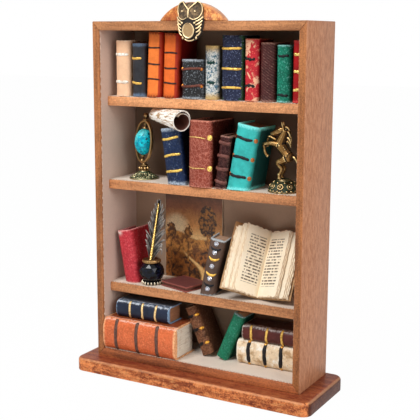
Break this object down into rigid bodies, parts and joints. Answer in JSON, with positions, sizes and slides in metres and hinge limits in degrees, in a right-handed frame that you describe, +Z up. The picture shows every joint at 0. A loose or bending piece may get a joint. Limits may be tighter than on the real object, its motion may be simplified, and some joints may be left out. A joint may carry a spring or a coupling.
{
  "type": "miniature bookcase display case",
  "caption": "Open-fronted wooden miniature bookcase on a plinth, mitred case with shelves of tiny bound books, cast charms, an open book and a crest with an owl",
  "frame": {"origin": "on the underside of the plinth, in its middle", "axes": "+Z up, the open front towards -Y, +X to the right seen from the front"},
  "size_m": [0.1382, 0.0468, 0.1972],
  "materials": {
    "case_wood": "satin",
    "back_wood": "raw board",
    "shelf_wood": "satin",
    "plinth_wood": "varnished",
    "crest_wood": "varnished",
    "lining_paper": "matt",
    "dark_bronze": "oxidised",
    "ring_bronze": "antique",
    "green_patina": "patinated",
    "gold_brass": "antique gold",
    "silver_metal": "antique silver",
    "turquoise_stone": "polished",
    "black_glass": "faceted, black",
    "clear_gem": "cut, foiled",
    "scroll_paper": "matt",
    "page_paper": "matt",
    "open_paper": "matt",
    "card": "printed",
    "dark_leather": "matt",
    "beige_leather": "matt",
    "charcoal_leather": "matt",
    "orange_leather": "matt",
    "black_leather": "pebbled",
    "marbled_paper": "marbled",
    "navy_leather": "pebbled",
    "mottled_paper": "mottled",
    "maroon_leather": "matt",
    "green_leather": "matt",
    "red_leather": "matt",
    "russet_leather": "embossed",
    "turquoise_leather": "matt",
    "umber_leather": "matt",
    "tan_leather": "matt",
    "emerald_leather": "smooth",
    "vellum": "mottled"
  },
  "bodies": {
    "case": {"back_board": "back_wood", "back_lining": "lining_paper", "beige_book": "beige_leather", "black_corded_book": "black_leather", "blue_book": "navy_leather", "board_linings": "lining_paper", "bottom_board": "case_wood", "brown_clasp_book": "umber_leather", "charcoal_book": "charcoal_leather", "crest": "crest_wood", "crimson_book": "red_leather", "dark_straps": "dark_leather", "emerald_book": "emerald_leather", "flat_maroon_book": "maroon_leather", "gilt_bands": "gold_brass", "globe_collar": "dark_bronze", "globe_foot": "green_patina", "globe_meridian": "ring_bronze", "globe_pin": "ring_bronze", "green_book": "green_leather", "horse_figure": "gold_brass", "horse_foot": "green_patina", "inkwell_bowl": "black_glass", "inkwell_foot": "silver_metal", "inkwell_rim": "ring_bronze", "jewelled_book": "umber_leather", "left_side": "case_wood", "lower_shelf": "shelf_wood", "marbled_book": "marbled_paper", "maroon_book": "maroon_leather", "middle_shelf": "shelf_wood", "mottled_red_book": "mottled_paper", "navy_folio": "navy_leather", "navy_gilt_book": "navy_leather", "open_book_cover": "tan_leather", "open_book_left_leaves": "open_paper", "open_book_right_leaves": "open_paper", "orange_left_book": "orange_leather", "orange_right_book": "orange_leather", "owl_badge": "dark_bronze", "oxblood_book": "maroon_leather", "page_blocks": "page_paper", "parchment_scroll": "scroll_paper", "picture_card": "card", "plinth": "plinth_wood", "quill_shaft": "gold_brass", "quill_vane": "silver_metal", "red_gilt_book": "red_leather", "right_side": "case_wood", "russet_book": "russet_leather", "side_linings": "lining_paper", "spine_gems": "clear_gem", "studs": "gold_brass", "tan_folio": "tan_leather", "top_board": "case_wood", "turquoise_book": "turquoise_leather", "umber_book": "umber_leather", "upper_shelf": "shelf_wood", "vellum_book": "vellum"},
    "stone": {"globe_stone": "turquoise_stone"}
  },
  "joints": [
    {"name": "globe_spin", "type": "hinge", "parent": "case", "child": "stone", "pos_m": [-0.04097, 0.00435, 0.12448], "axis": [0.1255, -0.036, 0.9914], "continuous": true}
  ]
}
